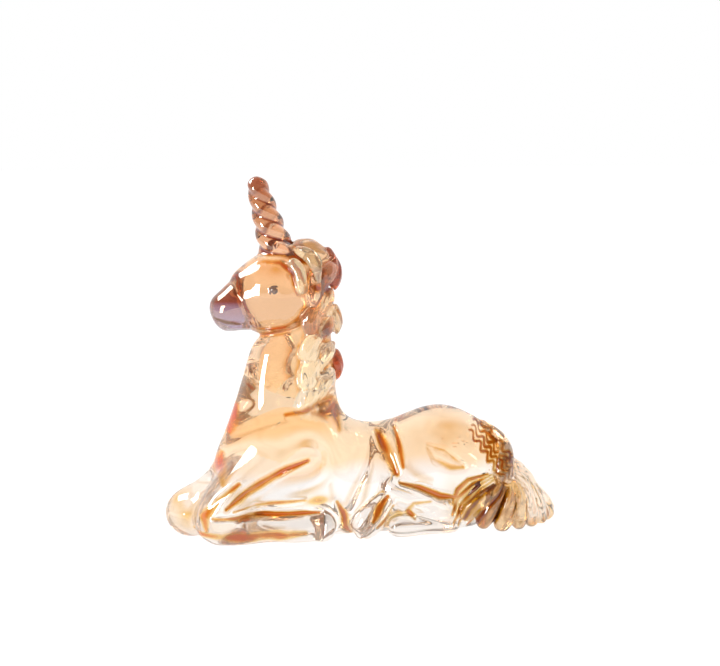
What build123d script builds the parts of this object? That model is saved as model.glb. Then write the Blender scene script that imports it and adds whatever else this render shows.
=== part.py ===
from build123d import *
import math
import os

# A resting unicorn in lustred glass. Every gather and bit of glass is its own solid, seated on
# the ones that carry it, as hot glass is fused. The unicorn looks along -X, its left side is
# -Y, and its ground underside is Z = 0. All sizes are millimetres.

# Torso, the main gather
TORSO_FRONT = 46.0
TORSO_REAR = 48.0
TORSO_HALF_WIDTH = 17.5
BACK_HEIGHT = 34.5
TORSO_AXIS_HEIGHT = 15.5

# Neck, a column that narrows from the chest to the poll
NECK_FOOT_X = -25.0
NECK_POLL_X = -18.0
NECK_FOOT_HEIGHT = 14.0
NECK_TOP_HEIGHT = 88.0
NECK_HALF_LENGTH = 22.0
NECK_HALF_WIDTH = 14.5

# Head, muzzle and eyes
POLL_OVERHANG = 3.5
HEAD_LENGTH = 26.5
HEAD_HALF_HEIGHT = 13.0
HEAD_HALF_WIDTH = 12.3
POLL_HEIGHT = 80.6
HEAD_DROP = 7.6
MUZZLE_START = 0.90
MUZZLE_LENGTH = 6.6
MUZZLE_HALF_HEIGHT = 7.3
MUZZLE_HALF_WIDTH = 7.2
EYE_RADIUS = 1.9

# Horn, a cane of lobes twisted while hot
HORN_LENGTH = 24.5
HORN_BASE_RADIUS = 6.6
HORN_TIP_RADIUS = 3.2
HORN_LEAN = 16.5
HORN_LOBES = 3
HORN_TURNS = 1.7
HORN_ROOT = 6.0
HORN_GROOVE = 0.78

# Ears, forelock and mane
EAR_LENGTH = 12.5
EAR_HALF_WIDTH = 3.3
EAR_HALF_THICKNESS = 2.1
FRINGE_RADIUS = 2.3
FORELOCK_LENGTH = 9.5
CREST_LOCKS = 3
CREST_LOCK_RADIUS = 4.3
MANE_LOCKS = 5
MANE_LOCK_RADIUS = 3.5

# Forelegs, folded under the chest, with the right knee set ahead by the stagger and near the middle
SHOULDER_X = -24.0
SHOULDER_LENGTH = 27.0
SHOULDER_HEIGHT = 30.0
SHOULDER_HALF_WIDTH = 10.5
FORE_SPREAD = 14.5
KNEE_SPREAD = 12.5
CROSSED_SPREAD = 1.5
KNEE_REACH = 48.8
KNEE_STAGGER = 8.2
KNEE_RADIUS = 7.0
CANNON_RADIUS = 5.4
FORE_HOOF_LENGTH = 12.0
FETLOCK_X = -22.0

# Hind legs
HAUNCH_X = 27.0
HAUNCH_LENGTH = 39.0
HAUNCH_HEIGHT = 33.0
HAUNCH_HALF_WIDTH = 10.5
HIND_SPREAD = 15.0
GASKIN_RADIUS = 5.0
HIND_CANNON_RADIUS = 3.4
HIND_HOOF_LENGTH = 16.0

# Tail
TAIL_DOCK_RADIUS = 4.6
TAIL_LOCKS = 10
TAIL_LOCK_RADIUS = 3.7
PLUME_REACH = 25.0
PLUME_HALF_WIDTH = 18.0
PLUME_BULGE = 2.6

# How an end closes: one ring part way along the nose, then its point
NOSE_SHARE = 0.62
NOSE_RING = 0.79
FLOOR_BLOCK = 400.0


def oval(half_width, half_depth):
    """An ellipse in four quarters, which loft to four faces."""
    starts = (45, 135, 225, 315)
    return make_face([EllipticalCenterArc((0, 0), half_width, half_depth, start) for start in starts])


def swell(route, widths, depths, face, noses):
    """Lofts one gather: an ellipse across its route at each point, and a round nose at each end.

    widths lie across the route and square to face, depths lie along face.
    """
    last = len(route) - 1
    sections = []
    for i, point in enumerate(route):
        along = (route[min(i + 1, last)] - route[max(i - 1, 0)]).normalized()
        plane = Plane(origin=point, x_dir=along.cross(Vector(*face)), z_dir=along)
        sections.append(plane * oval(widths[i], depths[i]))
        if i == 0 and noses[0]:
            sections = nose_rings(plane, -noses[0], widths[i], depths[i])[::-1] + sections
        if i == last and noses[1]:
            sections += nose_rings(plane, noses[1], widths[i], depths[i])
    return loft(sections).solid()


def nose_rings(plane, length, width, depth):
    """The ring and the point that close one end, length millimetres beyond its plane."""
    ring = plane.offset(length * NOSE_SHARE) * oval(width * NOSE_RING, depth * NOSE_RING)
    return [ring, Vertex(*(plane.origin + plane.z_dir * length))]


def ball(centre, half_length, half_width, half_height):
    """An egg of glass about its centre."""
    return (Pos(*centre) * scale(Sphere(1.0), (half_length, half_width, half_height))).solid()


def between(start, end, shares):
    """Points on a straight line, at shares of the way from start to end."""
    return [start + (end - start) * share for share in shares]


def reach(piece):
    """A quick box round a piece, never too small."""
    return piece.bounding_box(optimal=False)


def apart(box, other):
    """True where two boxes don't meet."""
    return any(
        getattr(box.min, axis) > getattr(other.max, axis) or getattr(other.min, axis) > getattr(box.max, axis)
        for axis in "XYZ"
    )


def seat(piece, carriers):
    """Cuts a piece to sit face to face on its carriers, and keeps its main lump."""
    for carrier in carriers:
        if not apart(reach(piece), reach(carrier)):
            piece = max(piece.cut(carrier).solids(), key=lambda lump: lump.volume)
    return piece


def slab(direction):
    """A block whose near face lies in the origin, on the side that direction points to."""
    return Pos(*(Vector(*direction) * (FLOOR_BLOCK / 2))) * Box(FLOOR_BLOCK, FLOOR_BLOCK, FLOOR_BLOCK)


def mirrored(piece):
    """The same piece on the other side of the body."""
    return mirror(piece, Plane.XZ).solid()


# Torso
def torso_x(share):
    """Place along the torso, 0 at the chest and 1 at the rump."""
    return -TORSO_FRONT + share * (TORSO_FRONT + TORSO_REAR)


def make_torso():
    """Barrel of the body: deep chest, slight waist, round croup and falling rump."""
    form = (
        (0.08, 0.70, 0.78),
        (0.22, 0.97, 1.00),
        (0.40, 1.00, 1.02),
        (0.57, 0.94, 1.00),
        (0.70, 0.96, 1.21),
        (0.79, 0.95, 1.29),
        (0.87, 0.86, 1.13),
    )
    half_rise = BACK_HEIGHT - TORSO_AXIS_HEIGHT
    route = [Vector(torso_x(t), 0, TORSO_AXIS_HEIGHT) for t, _, _ in form]
    widths = [TORSO_HALF_WIDTH * w for _, w, _ in form]
    depths = [half_rise * h for _, _, h in form]
    noses = (torso_x(form[0][0]) + TORSO_FRONT, TORSO_REAR - torso_x(form[-1][0]))
    return swell(route, widths, depths, (0, 0, 1), noses)


# Neck: share of its height, then shares of its half length and half width there
NECK_FORM = (
    (0.00, 0.80, 0.90),
    (0.17, 1.00, 1.00),
    (0.31, 0.83, 0.88),
    (0.45, 0.71, 0.75),
    (0.60, 0.65, 0.63),
    (0.76, 0.57, 0.54),
    (0.90, 0.47, 0.47),
)


def neck_point(share):
    """Centre of the neck at a share of its height."""
    lean = share * share * (NECK_POLL_X - NECK_FOOT_X)
    rise = NECK_FOOT_HEIGHT + share * (NECK_TOP_HEIGHT - NECK_FOOT_HEIGHT)
    return Vector(NECK_FOOT_X + lean, 0, rise)


def neck_halves(share):
    """Half length and half width of the neck at a share of its height."""
    low = max((row for row in NECK_FORM if row[0] <= share), default=NECK_FORM[0])
    high = min((row for row in NECK_FORM if row[0] > share), default=low)
    blend = 0 if high is low else (share - low[0]) / (high[0] - low[0])
    return (
        NECK_HALF_LENGTH * (low[1] + blend * (high[1] - low[1])),
        NECK_HALF_WIDTH * (low[2] + blend * (high[2] - low[2])),
    )


def make_neck():
    """Column of the neck, oval across, wide at the chest."""
    route = [neck_point(row[0]) for row in NECK_FORM]
    depths = [NECK_HALF_LENGTH * row[1] for row in NECK_FORM]
    widths = [NECK_HALF_WIDTH * row[2] for row in NECK_FORM]
    return swell(route, widths, depths, (-1, 0, 0), (0, NECK_TOP_HEIGHT - route[-1].Z))


# Head
def head_point(share):
    """Centre line of the head, 0 at the poll and 1 at the muzzle."""
    return Vector(
        NECK_POLL_X + POLL_OVERHANG - share * HEAD_LENGTH, 0, POLL_HEIGHT - HEAD_DROP * share ** 1.5
    )


def make_head():
    """Skull and cheeks, narrowing over the bridge of the nose to the round end of the muzzle."""
    form = (
        (0.12, 0.66, 0.70),
        (0.34, 0.93, 0.97),
        (0.56, 1.00, 1.00),
        (0.76, 0.82, 0.87),
        (0.90, 0.65, 0.72),
    )
    swollen = head_point(1.02)
    ahead = (swollen - head_point(0.90)).normalized()
    route = [head_point(t) for t, _, _ in form] + [swollen, swollen + ahead * (MUZZLE_LENGTH * 0.5)]
    widths = [HEAD_HALF_WIDTH * w for _, w, _ in form] + [MUZZLE_HALF_WIDTH, MUZZLE_HALF_WIDTH * 0.86]
    depths = [HEAD_HALF_HEIGHT * h for _, _, h in form] + [MUZZLE_HALF_HEIGHT, MUZZLE_HALF_HEIGHT * 0.86]
    nose = head_point(0).X - route[0].X
    return swell(route, widths, depths, (0, 0, 1), (nose, MUZZLE_LENGTH * 0.5))


def nose_block(side):
    """A block that meets the nose where the darker muzzle begins: 1 ahead of it, -1 behind."""
    start = head_point(MUZZLE_START)
    plane = Plane(origin=start, z_dir=(head_point(MUZZLE_START + 0.1) - start) * side)
    return plane * Pos(0, 0, FLOOR_BLOCK / 2) * Box(FLOOR_BLOCK, FLOOR_BLOCK, FLOOR_BLOCK)


def make_eye():
    """Left eye, a small bead of glass on the cheek."""
    on_head = head_point(0.58)
    centre = (on_head.X, -HEAD_HALF_WIDTH * 0.92, on_head.Z + HEAD_HALF_HEIGHT * 0.2)
    return ball(centre, EYE_RADIUS, EYE_RADIUS, EYE_RADIUS)


# Horn
def horn_axis():
    """Direction of the horn, leaning forward."""
    lean = math.radians(HORN_LEAN)
    return Vector(-math.sin(lean), 0, math.cos(lean))


def crown():
    """Top of the head, where the horn stands."""
    return head_point(0.47) + Vector(0, 0, HEAD_HALF_HEIGHT)


def make_horn():
    """Tapered cane of round lobes, twisted about its axis, with a blunt round tip."""
    steps = math.ceil(HORN_TURNS * 10)
    length = HORN_LENGTH + HORN_ROOT
    sections = []
    for i in range(steps + 1):
        share = i / steps
        radius = HORN_BASE_RADIUS + (HORN_TIP_RADIUS - HORN_BASE_RADIUS) * share
        from_tip = (1 - share) * length / HORN_TIP_RADIUS
        radius *= math.sqrt(1 - max(0.0, 0.9 - from_tip) ** 2)
        centre = crown() + horn_axis() * (share * length - HORN_ROOT)
        plane = Plane(origin=centre, x_dir=(0, 1, 0), z_dir=horn_axis())
        arcs = []
        for lobe in range(HORN_LOBES):
            turns = [(lobe + part) / HORN_LOBES - HORN_TURNS * share for part in (0, 0.5, 1)]
            radii = (HORN_GROOVE * radius, radius, HORN_GROOVE * radius)
            points = [
                (r * math.cos(2 * math.pi * turn), r * math.sin(2 * math.pi * turn))
                for r, turn in zip(radii, turns)
            ]
            arcs.append(ThreePointArc(*points))
        sections.append(plane * make_face(arcs))
    return loft(sections).solid()


# Ears, forelock and mane
def make_ear():
    """Left ear, a leaf laid back along the cheek."""
    root = head_point(0.36) + Vector(0, -HEAD_HALF_WIDTH * 0.70, HEAD_HALF_HEIGHT * 0.80)
    tip = root + Vector(0.32, -0.28, -0.90) * EAR_LENGTH
    widths = [EAR_HALF_WIDTH * w for w in (0.75, 1.0, 0.72)]
    depths = [EAR_HALF_THICKNESS * w for w in (0.85, 1.0, 0.8)]
    route = between(root, tip, (0.12, 0.40, 0.70))
    return swell(route, widths, depths, (-0.25, -1, 0), (EAR_LENGTH * 0.12, EAR_LENGTH * 0.30))


def make_fringe_lock():
    """Left lock of the fringe, a crescent that falls behind the ear."""
    root = head_point(0.26) + Vector(0, -HEAD_HALF_WIDTH * 0.40, HEAD_HALF_HEIGHT * 0.93)
    bends = ((0.0, 0.0, 0.0), (0.25, -0.27, -0.10), (0.42, -0.42, -0.38), (0.46, -0.47, -0.68))
    route = [root + Vector(*bend) * EAR_LENGTH for bend in bends]
    widths = [FRINGE_RADIUS * w for w in (0.8, 1.05, 1.0, 0.6)]
    depths = [FRINGE_RADIUS * w for w in (0.7, 0.9, 0.9, 0.6)]
    return swell(route, widths, depths, (-0.3, -1, 0.5), (FRINGE_RADIUS * 0.7, FRINGE_RADIUS))


def make_forelock():
    """Tuft between the ears, swept back from the horn over the poll."""
    radius = CREST_LOCK_RADIUS
    start = crown() + Vector(HORN_BASE_RADIUS * 0.8, 0, 0.2)
    route = [
        start,
        start + Vector(FORELOCK_LENGTH * 0.5, 0, 0),
        start + Vector(FORELOCK_LENGTH, 0, -radius * 0.8),
    ]
    widths = [radius * w for w in (1.2, 1.4, 1.0)]
    depths = [radius * w for w in (0.7, 0.85, 0.7)]
    return swell(route, widths, depths, (0, 0, 1), (radius * 0.8, radius))


def neck_side(share, turn, out):
    """A point out millimetres over the neck; turn runs from 0 at the crest to 90 on the left."""
    centre = neck_point(share)
    half_length, half_width = neck_halves(share)
    angle = math.radians(turn)
    return centre + Vector(
        (half_length + out) * math.cos(angle), -(half_width + out) * math.sin(angle), 0
    )


def make_crest_lock(top):
    """One curl of the crest, a drop of glass that hangs down the back of the neck."""
    radius = CREST_LOCK_RADIUS
    falls = ((0.0, -0.9), (0.065, -0.42), (0.13, -0.44), (0.18, -0.75))
    route = [neck_side(top - fall, 0, radius * out) for fall, out in falls]
    widths = [radius * w for w in (0.86, 1.15, 1.03, 0.63)]
    depths = [radius * w for w in (0.75, 1.0, 0.9, 0.55)]
    return swell(route, widths, depths, (1, 0, 0), (radius * 0.6, radius * 0.8))


def make_side_lock(top):
    """One curl of the left mane: forward from the crest, down the neck, and back at its tip."""
    radius = MANE_LOCK_RADIUS
    bends = ((0.0, 24, -0.25), (0.04, 52, 0.15), (0.10, 72, 0.15), (0.16, 74, 0.1), (0.20, 64, -0.15))
    route = [neck_side(top - fall, turn, radius * out) for fall, turn, out in bends]
    widths = [radius * w for w in (0.7, 1.0, 1.05, 0.9, 0.5)]
    depths = [radius * w for w in (0.6, 0.8, 0.8, 0.75, 0.45)]
    return swell(route, widths, depths, (0.5, -1, 0), (radius * 0.6, radius * 0.8))


# Forelegs
def make_shoulder():
    """Left shoulder, an egg of glass on the side of the chest."""
    centre = (SHOULDER_X, -TORSO_HALF_WIDTH * 0.52, BACK_HEIGHT * 0.75)
    return ball(centre, SHOULDER_LENGTH / 2, SHOULDER_HALF_WIDTH, SHOULDER_HEIGHT / 2)


def knee(ahead, spread):
    """Middle of a left knee, set ahead and spread from the middle by some millimetres."""
    return Vector(-KNEE_REACH - ahead, -spread, KNEE_RADIUS)


def fetlock():
    """Rear end of the left fore cannon."""
    return Vector(FETLOCK_X, -FORE_SPREAD, CANNON_RADIUS * 0.9)


def make_forearm(ahead, spread, bow):
    """Left forearm, a long drop from a thin tip on the shoulder to the knee, arched by its bow."""
    form = ((0.0, 0.0, 0.26), (0.49, 0.27, 0.48), (0.80, 0.30, 0.82), (1.0, 0.0, 1.0))
    bulge = TORSO_HALF_WIDTH * 0.52 + SHOULDER_HALF_WIDTH * 1.02
    root = Vector(SHOULDER_X + SHOULDER_LENGTH * 0.1, -bulge, BACK_HEIGHT * 0.81)
    fall = knee(ahead, spread) - root
    route = [root + fall * along - Vector(0, 0, fall.Z * bow * lift) for along, lift, _ in form]
    radii = [KNEE_RADIUS * r for _, _, r in form]
    return swell(route, radii, radii, (-0.5, 0, 0.87), (KNEE_RADIUS * 0.3, KNEE_RADIUS * 0.8))


def make_fore_cannon(ahead, spread):
    """Left fore cannon, folded back under the forearm."""
    front = knee(ahead, spread)
    start = Vector(front.X + KNEE_RADIUS * 0.3, front.Y, fetlock().Z)
    route = between(start, fetlock(), (0.0, 0.4, 0.75, 1.0))
    radii = [CANNON_RADIUS * s for s in (1.1, 0.95, 0.92, 1.0)]
    return swell(route, radii, radii, (0, 0, 1), (CANNON_RADIUS, CANNON_RADIUS))


def make_fore_hoof():
    """Left fore hoof, an upright rounded block at the end of the cannon."""
    centre = fetlock() + Vector(FORE_HOOF_LENGTH * 0.45, 0, CANNON_RADIUS * 0.15)
    return ball(tuple(centre), FORE_HOOF_LENGTH / 2, CANNON_RADIUS * 1.05, CANNON_RADIUS * 1.5)


# Hind legs
def make_haunch():
    """Left haunch, the round of the hip."""
    centre = (HAUNCH_X, -TORSO_HALF_WIDTH * 0.54, BACK_HEIGHT * 0.58)
    return ball(centre, HAUNCH_LENGTH / 2, HAUNCH_HALF_WIDTH, HAUNCH_HEIGHT / 2)


def stifle():
    """Front of the left thigh, where the lower leg turns back."""
    return Vector(HAUNCH_X - HAUNCH_LENGTH * 0.5, -HIND_SPREAD, BACK_HEIGHT * 0.46)


def hock():
    """Rear bend of the left hind leg."""
    return Vector(HAUNCH_X, 1.5 - HIND_SPREAD, GASKIN_RADIUS * 1.6)


def make_gaskin():
    """Left gaskin, from the stifle back to the hock."""
    route = between(stifle(), hock(), (0.05, 0.5, 1.0))
    radii = [GASKIN_RADIUS * s for s in (0.95, 1.0, 1.05)]
    return swell(route, radii, radii, (0.3, 0, 1), (GASKIN_RADIUS * 0.9, GASKIN_RADIUS * 0.9))


def make_hind_cannon():
    """Left hind cannon, lying forward along the floor from the hock."""
    height = HIND_CANNON_RADIUS * 0.9
    start = Vector(hock().X, hock().Y, height)
    end = Vector(stifle().X + HIND_HOOF_LENGTH * 0.12, stifle().Y, height)
    route = between(start, end, (0.0, 0.5, 1.0))
    radii = [HIND_CANNON_RADIUS * s for s in (1.1, 1.0, 1.1)]
    return swell(route, radii, radii, (0, 0, 1), (HIND_CANNON_RADIUS, HIND_CANNON_RADIUS))


def make_hind_hoof():
    """Left hind hoof, a drop that leans down and forward from the stifle to the floor."""
    top = stifle() - Vector(0, 0, HIND_CANNON_RADIUS * 0.3)
    foot = Vector(top.X - HIND_HOOF_LENGTH * 0.62, top.Y, HIND_CANNON_RADIUS)
    route = between(top, foot, (0.0, 0.5, 1.0))
    radii = [HIND_CANNON_RADIUS * s for s in (0.9, 1.3, 1.35)]
    return swell(route, radii, radii, (0.7, 0, 0.7), (HIND_CANNON_RADIUS, HIND_CANNON_RADIUS))


# Tail
def dock_route():
    """The tail's root on the croup, its bend on the rump, and the knot where its plume opens."""
    rump = HAUNCH_X + HAUNCH_LENGTH / 2
    return [
        Vector(rump - TAIL_DOCK_RADIUS * 2, -TAIL_DOCK_RADIUS * 0.6, BACK_HEIGHT * 0.95),
        Vector(rump - TAIL_DOCK_RADIUS * 0.7, -PLUME_HALF_WIDTH * 0.66, BACK_HEIGHT * 0.75),
        Vector(rump - TAIL_DOCK_RADIUS * 0.8, -PLUME_HALF_WIDTH * 0.88, BACK_HEIGHT * 0.55),
    ]


def make_tail_dock():
    """Root of the tail, from the croup down the left of the rump."""
    radii = [TAIL_DOCK_RADIUS * s for s in (0.8, 1.05, 1.0)]
    nose = TAIL_DOCK_RADIUS * 0.8
    return swell(dock_route(), radii, radii, (0.8, -0.4, 0.4), (nose, nose))


def make_tail_lock(index):
    """One lock of the plume, fanning from the dock to the floor round the rump."""
    share = index / (TAIL_LOCKS - 1)
    root, bend, knot = dock_route()
    turn = math.radians(-122 + 130 * share)
    out = Vector(math.cos(turn), math.sin(turn), 0)
    lift = max(0.0, 0.28 - share) * TAIL_LOCK_RADIUS * 6
    foot = Vector(
        knot.X - TAIL_DOCK_RADIUS + PLUME_REACH * out.X,
        PLUME_HALF_WIDTH * out.Y,
        TAIL_LOCK_RADIUS * 0.9 + lift,
    )
    climb = max(0.0, share - 0.45)
    top = knot + (bend - knot) * (2 * climb) + (root - bend) * (0.4 * climb)
    route = []
    for along in (0.0, 0.33, 0.67, 1.0):
        swing = (out + Vector(0, 0, 0.8)) * (PLUME_BULGE * (1 - share) * math.sin(math.pi * along))
        route.append(top + (foot - top) * along + swing)
    radii = [TAIL_LOCK_RADIUS * s for s in (0.45, 0.85, 1.0, 0.9)]
    nose = TAIL_LOCK_RADIUS * 0.7
    return swell(route, radii, radii, (out.X, out.Y, 0.6), (nose, nose))


def build():
    """Makes every piece in the order that the glass is joined, each seated on those before it."""
    floor = slab((0, 0, -1))
    right_half = slab((0, 1, 0))
    whole = {}
    made = {}

    def join(name, piece, carriers):
        whole[name] = piece
        made[name] = seat(piece, [whole[carrier] for carrier in carriers] + [floor])

    def join_pair(name, piece, carriers):
        left = "left_" + name
        whole[left] = seat(piece, [right_half])
        whole["right_" + name] = mirrored(whole[left])
        sides = ["left_" + carrier if "left_" + carrier in whole else carrier for carrier in carriers]
        made[left] = seat(whole[left], [whole[side] for side in sides] + [floor])
        made["right_" + name] = mirrored(made[left])

    join("torso", make_torso(), [])
    whole["head"] = make_head()
    made["head"] = seat(whole["head"], [nose_block(1)])
    made["muzzle"] = seat(whole["head"], [nose_block(-1)])
    join("neck", make_neck(), ["torso", "head"])
    join("horn", make_horn(), ["head"])
    join_pair("eye", make_eye(), ["head"])
    join_pair("ear", make_ear(), ["head", "neck"])
    join("forelock", make_forelock(), ["head", "neck", "horn"])
    join_pair("fringe_lock", make_fringe_lock(), ["head", "neck", "horn", "ear", "forelock"])
    poll = ["neck", "head", "forelock"]
    for i in range(CREST_LOCKS):
        name = f"crest_lock_{i + 1}"
        join(name, make_crest_lock(1.02 - 0.195 * i), poll)
        poll.append(name)
    locks = []
    for i in range(MANE_LOCKS):
        name = f"mane_lock_{i + 1}"
        join_pair(name, make_side_lock(0.99 - 0.115 * i), poll + ["ear", "fringe_lock", "torso"] + locks[-2:])
        locks.append(name)
    body = ["torso", "neck"]
    join_pair("shoulder", make_shoulder(), body + locks[-2:])
    left_leg = {
        "forearm": make_forearm(0.0, KNEE_SPREAD, 1.0),
        "fore_cannon": make_fore_cannon(0.0, KNEE_SPREAD),
        "fore_hoof": make_fore_hoof(),
    }
    right_leg = {
        "forearm": mirrored(make_forearm(KNEE_STAGGER, CROSSED_SPREAD, 0.0)),
        "fore_cannon": mirrored(make_fore_cannon(KNEE_STAGGER, CROSSED_SPREAD)),
        "fore_hoof": mirrored(make_fore_hoof()),
    }
    chest = body + ["left_shoulder", "right_shoulder"]
    for side, leg in (("left_", left_leg), ("right_", right_leg)):
        for name, piece in leg.items():
            join(side + name, piece, chest)
            chest.append(side + name)
    join_pair("haunch", make_haunch(), ["torso"])
    join_pair("gaskin", make_gaskin(), ["torso", "haunch"])
    join_pair("hind_cannon", make_hind_cannon(), ["torso", "haunch", "gaskin"])
    join_pair("hind_hoof", make_hind_hoof(), ["torso", "haunch", "gaskin", "hind_cannon"])
    rear = ["torso", "left_haunch", "right_haunch", "left_gaskin", "left_hind_cannon"]
    join("tail_dock", make_tail_dock(), rear)
    locks = []
    for i in range(TAIL_LOCKS):
        name = f"tail_lock_{i + 1}"
        join(name, make_tail_lock(i), rear + ["tail_dock"] + locks[-3:])
        locks.append(name)
    return made


os.makedirs("parts", exist_ok=True)
PIECES = build()
for node, solid in PIECES.items():
    export_step(solid, f"parts/{node}.step")
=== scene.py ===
"""A resting unicorn in clear glass with a fired amber lustre, dressed on its CAD frame."""
import logging
import math
from dataclasses import dataclass
from enum import Enum

import bpy
import numpy as np
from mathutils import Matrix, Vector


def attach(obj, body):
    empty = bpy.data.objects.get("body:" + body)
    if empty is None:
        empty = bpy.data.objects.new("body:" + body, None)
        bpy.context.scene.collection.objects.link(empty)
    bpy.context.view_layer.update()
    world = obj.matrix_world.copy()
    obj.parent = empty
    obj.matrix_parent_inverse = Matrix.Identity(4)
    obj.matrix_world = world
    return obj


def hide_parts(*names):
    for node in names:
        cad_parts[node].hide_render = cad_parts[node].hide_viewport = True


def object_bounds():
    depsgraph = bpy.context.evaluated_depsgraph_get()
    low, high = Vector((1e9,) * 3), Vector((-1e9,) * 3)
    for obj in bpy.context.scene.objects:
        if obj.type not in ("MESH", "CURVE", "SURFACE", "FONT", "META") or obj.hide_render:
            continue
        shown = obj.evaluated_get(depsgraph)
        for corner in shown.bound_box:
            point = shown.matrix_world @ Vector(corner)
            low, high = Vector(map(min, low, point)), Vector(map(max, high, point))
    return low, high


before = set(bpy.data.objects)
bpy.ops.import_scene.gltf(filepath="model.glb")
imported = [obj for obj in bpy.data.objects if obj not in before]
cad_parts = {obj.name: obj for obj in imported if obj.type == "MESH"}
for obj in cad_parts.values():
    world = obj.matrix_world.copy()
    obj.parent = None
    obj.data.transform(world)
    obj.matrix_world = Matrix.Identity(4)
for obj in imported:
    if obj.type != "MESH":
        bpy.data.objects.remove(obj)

import openvdb
from mathutils import Matrix, Vector

LOG = logging.getLogger("unicorn")
MM = 0.001
CAD_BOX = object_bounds()
ROOT_BODY = "root"

# Grid that the glass is drawn on, in millimetres
VOXEL = 0.5
BAND = 9.0
MARGIN = 3.0
# More than half the figure's width
WIDE = 40.0
# Rounds of smoothing of the skin: where it meets the air, and in the seams
AIR_ROUNDS = 8
SEAM_ROUNDS = 12
# Soda-lime glass, and how the film's colour deepens: share of its full thickness, power of the colour
GLASS_IOR = 1.5
FILM_DEPTHS = ((0.35, 0.4), (0.7, 1.0))
FULL_DEPTH = 1.3


class Fuse(Enum):
    """How far the glass flows into the corner where a piece joins the rest, in millimetres."""

    TRUNK = 8.0
    HAUNCH = 5.0
    HEAD = 1.8
    MUZZLE = 1.5
    FOREARM = 8.5
    FORELEG = 2.0
    LEG = 1.6
    TRIM = 0.9
    HAIR = 0.8
    PLUME = 1.1
    BEAD = 0.3


class Axis(Enum):
    """The three directions of the grid."""

    X = 0
    Y = 1
    Z = 2


def linear(hex_colour: str) -> tuple[float, float, float, float]:
    """Turns an sRGB hex colour to linear.

    Args:
        hex_colour: Six hex digits after a hash.

    Returns:
        Linear red, green and blue, and full opacity.
    """
    parts = [int(hex_colour[i:i + 2], 16) / 255 for i in (1, 3, 5)]
    red, green, blue = [c / 12.92 if c <= 0.04045 else ((c + 0.055) / 1.055) ** 2.4 for c in parts]
    return red, green, blue, 1.0


def add_node(tree: bpy.types.NodeTree, kind: str, settings: dict | None = None,
             inputs: dict | None = None) -> bpy.types.Node:
    """Adds one node with its settings, its values and the sockets that feed it.

    Args:
        tree: Tree that gets the node.
        kind: Blender's name of the node type.
        settings: Attributes of the node itself.
        inputs: Value or output socket for each input, by name or number.

    Returns:
        The new node.
    """
    node = tree.nodes.new(kind)
    for name, value in (settings or {}).items():
        setattr(node, name, value)
    for key, value in (inputs or {}).items():
        if isinstance(value, bpy.types.NodeSocket):
            tree.links.new(value, node.inputs[key])
        else:
            node.inputs[key].default_value = value
    return node


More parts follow.
